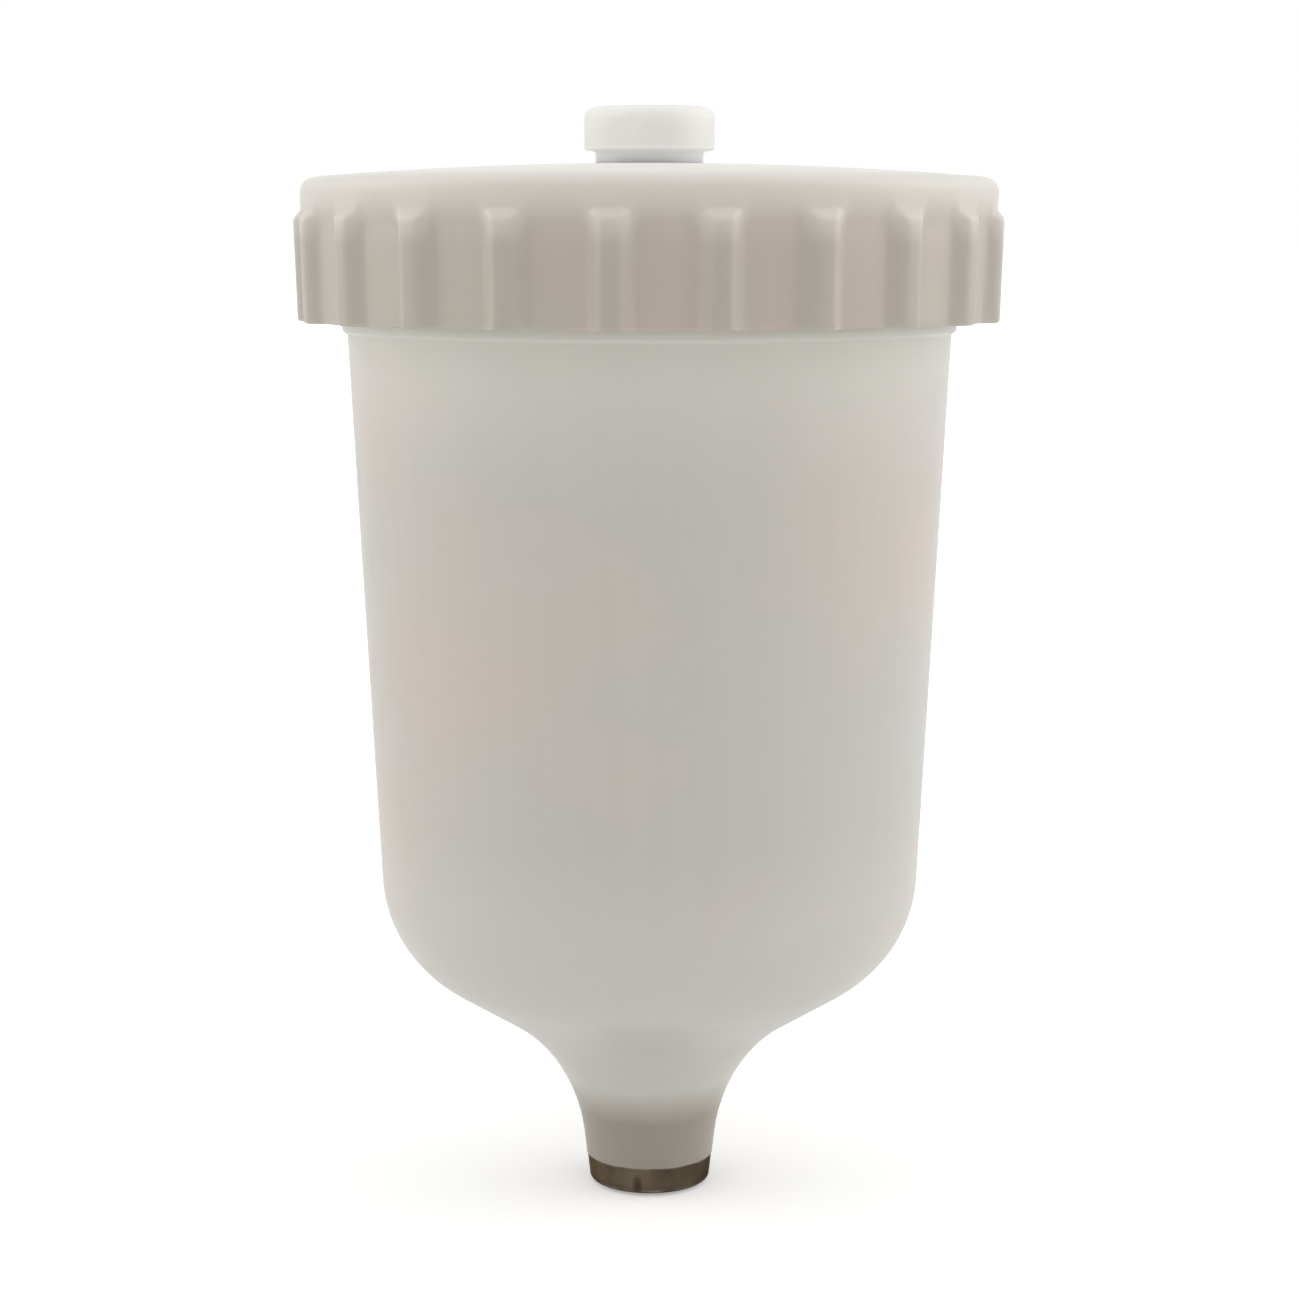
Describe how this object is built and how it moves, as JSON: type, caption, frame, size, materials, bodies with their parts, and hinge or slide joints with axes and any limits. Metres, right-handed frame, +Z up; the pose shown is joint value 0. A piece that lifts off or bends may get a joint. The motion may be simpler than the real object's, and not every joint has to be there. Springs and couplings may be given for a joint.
{
  "type": "spray gun paint cup",
  "caption": "Gravity-feed paint cup with a funnel bottom, a threaded metal outlet, a ribbed screw lid and a pull-out vent plug.",
  "frame": {"origin": "on the cup's axis, in the lower face of the metal outlet insert", "axes": "+Z up along the cup's axis, towards the lid; -Y is the side that the picture shows"},
  "size_m": [0.109, 0.1086, 0.1696],
  "materials": {
    "natural_nylon": "milky translucent, satin",
    "white_polyethylene": "satin white",
    "dark_metal": "turned, dulled",
    "gasket_foam": "soft matte",
    "strainer_nylon": "satin",
    "strainer_gauze": "fine woven mesh"
  },
  "bodies": {
    "cup": {"cup_body": "natural_nylon", "outlet_insert": "dark_metal"},
    "strainer": {"strainer_frame": "strainer_nylon", "strainer_mesh": "strainer_gauze"},
    "gasket": {"lid_gasket": "gasket_foam"},
    "lid": {"lid": "white_polyethylene", "drip_baffle": "white_polyethylene"},
    "plug": {"vent_plug": "white_polyethylene"}
  },
  "joints": [
    {"name": "lid_lift", "type": "slide", "parent": "cup", "child": "gasket", "axis": [0, 0, 1], "range_m": [0, 0.0181]},
    {"name": "lid_turn", "type": "hinge", "parent": "gasket", "child": "lid", "pos_m": [0, 0, 0.14], "axis": [0, 0, 1], "range_deg": [0, 540]},
    {"name": "plug_pull", "type": "slide", "parent": "lid", "child": "plug", "axis": [0, 0, 1], "range_m": [0, 0.012]},
    {"name": "strainer_lift", "type": "slide", "parent": "cup", "child": "strainer", "axis": [0, 0, 1], "range_m": [0, 0.09]}
  ],
  "couplings": [
    {"joint": "lid_lift", "follows": "lid_turn", "m_per_rad": 0.0019099}
  ]
}
